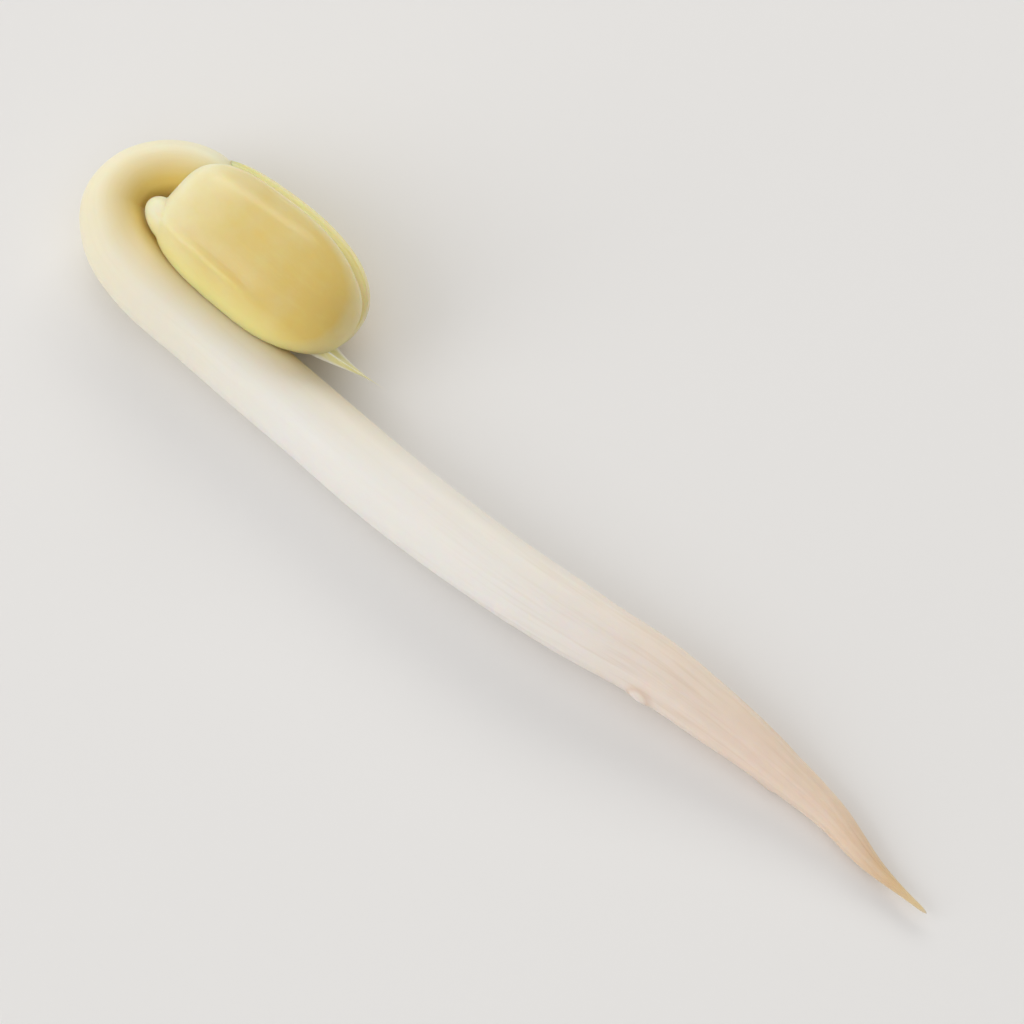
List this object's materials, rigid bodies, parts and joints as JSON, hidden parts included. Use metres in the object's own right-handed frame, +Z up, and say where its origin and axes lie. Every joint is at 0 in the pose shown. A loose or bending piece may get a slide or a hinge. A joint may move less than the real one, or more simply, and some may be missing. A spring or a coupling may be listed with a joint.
{
  "type": "mung bean sprout",
  "caption": "Mung bean sprout lying on its side: white hooked stem tapering to a root, a head of plump seed leaves and the tips of its first leaves.",
  "frame": {"origin": "Middle of the sprout's bounding box in plan, on the surface that it lies on.", "axes": "+X runs along the stem from the hook to the root tip, +Y is the side that the head lies on, +Z is up."},
  "size_m": [0.0434, 0.0088, 0.0054],
  "materials": {
    "stem_tissue": "moist white plant tissue, satin gloss, pinkish tan along the root",
    "seed_leaf_tissue": "golden yellow, firm and waxy, soft gloss",
    "leaf_tissue": "thin yellow-green leaf, matt with pale veins"
  },
  "bodies": {
    "root": {"stem_and_root": "stem_tissue", "seed_leaf_upper": "seed_leaf_tissue", "seed_leaf_lower": "seed_leaf_tissue", "true_leaf_upper": "leaf_tissue", "true_leaf_lower": "leaf_tissue"}
  },
  "joints": []
}
